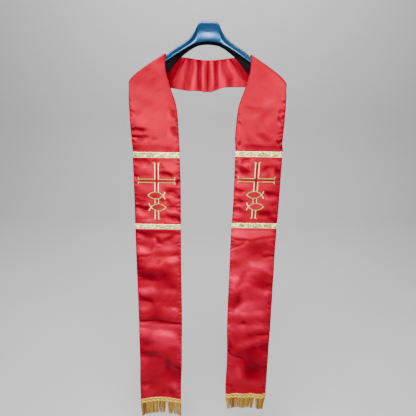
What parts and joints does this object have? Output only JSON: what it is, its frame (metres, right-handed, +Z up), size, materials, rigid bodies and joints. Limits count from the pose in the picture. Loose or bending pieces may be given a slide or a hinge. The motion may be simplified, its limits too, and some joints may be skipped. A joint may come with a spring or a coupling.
{
  "type": "clerical stole and clothes hanger",
  "caption": "Long satin neck stole hung over a wide-shouldered plastic hanger, with woven gold bands, an embroidered cross and fish on each panel, and fringed ends.",
  "frame": {"origin": "middle of the flat top of the hanger's neck, where its hook or clip is fixed", "axes": "+Z up, -Y out of the front of the stole, +X to the right as seen from the front"},
  "size_m": [0.4182, 0.0819, 1.2213],
  "materials": {
    "red_satin": "satin weave, soft sheen",
    "gold_braid": "metallic brocade braid",
    "gold_thread": "satin-stitched metallic thread",
    "gold_fringe": "twisted rayon fringe",
    "blue_plastic": "pearl gloss",
    "black_plastic": "smooth"
  },
  "bodies": {
    "root": {"stole_half_left": "red_satin", "band_upper_left": "gold_braid", "band_lower_left": "gold_braid", "emblem_left_upper_a": "gold_thread", "emblem_left_upper_b": "gold_thread", "emblem_left_lower": "gold_thread", "fringe_left": "gold_fringe", "stole_half_right": "red_satin", "band_upper_right": "gold_braid", "band_lower_right": "gold_braid", "emblem_right_upper_a": "gold_thread", "emblem_right_upper_b": "gold_thread", "emblem_right_lower": "gold_thread", "fringe_right": "gold_fringe", "hanger_shell": "blue_plastic", "hanger_web": "black_plastic"}
  },
  "joints": []
}
